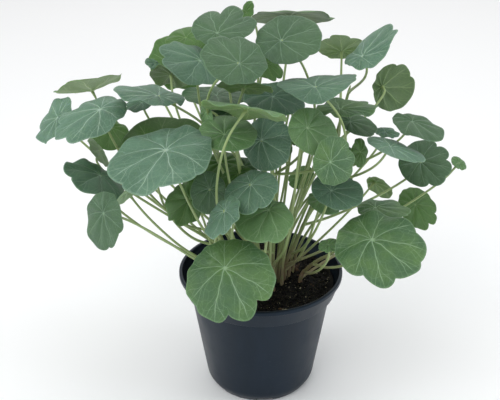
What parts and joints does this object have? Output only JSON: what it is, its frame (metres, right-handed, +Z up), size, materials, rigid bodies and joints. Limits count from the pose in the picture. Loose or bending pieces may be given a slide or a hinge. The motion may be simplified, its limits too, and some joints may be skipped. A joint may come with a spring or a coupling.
{
  "type": "nasturtium plant in a pot",
  "caption": "Bushy nasturtium plant with round, veined leaves on long thin stalks, growing from dark soil in a round tapered nursery pot.",
  "frame": {"origin": "middle of the pot's underside", "axes": "+Z up; the picture looks along +Y, with +X to its right"},
  "size_m": [0.3122, 0.1977, 0.287],
  "materials": {
    "pot": "satin",
    "soil": "matte",
    "stem": "matte",
    "leaf": "matte"
  },
  "bodies": {
    "root": {"pot": "pot", "soil": "soil", "stem_left": "stem", "stem_middle": "stem", "stem_right": "stem", "stem_front": "stem", "stem_back": "stem", "stem_brown": "stem", "left_reach": "leaf", "left_behind": "leaf", "left_high": "leaf", "left_upper": "leaf", "left_shade": "leaf", "broad_back": "leaf", "broad_front": "leaf", "left_sliver": "leaf", "left_dark": "leaf", "left_hang": "leaf", "left_grey": "leaf", "low_left": "leaf", "low_left_in": "leaf", "low_slant": "leaf", "mid_front": "leaf", "mid_low": "leaf", "pot_front": "leaf", "pot_right": "leaf", "right_low": "leaf", "right_lobe": "leaf", "right_round": "leaf", "right_blade": "leaf", "right_upper": "leaf", "right_tiny": "leaf", "right_back": "leaf", "right_flat": "leaf", "right_fold": "leaf", "right_peek": "leaf", "right_disc": "leaf", "mid_disc": "leaf", "mid_dark": "leaf", "mid_saddle": "leaf", "mid_shade": "leaf", "mid_bright": "leaf", "mid_edge": "leaf", "top_face": "leaf", "top_left": "leaf", "top_crown": "leaf", "top_lobe": "leaf", "top_far_left": "leaf", "left_olive": "leaf", "mid_blue": "leaf", "mid_lip": "leaf", "top_right": "leaf", "top_broad": "leaf", "top_olive": "leaf", "top_wing": "leaf", "right_inner": "leaf", "right_glow": "leaf", "right_olive": "leaf", "low_right": "leaf", "mid_back": "leaf"}
  },
  "joints": []
}
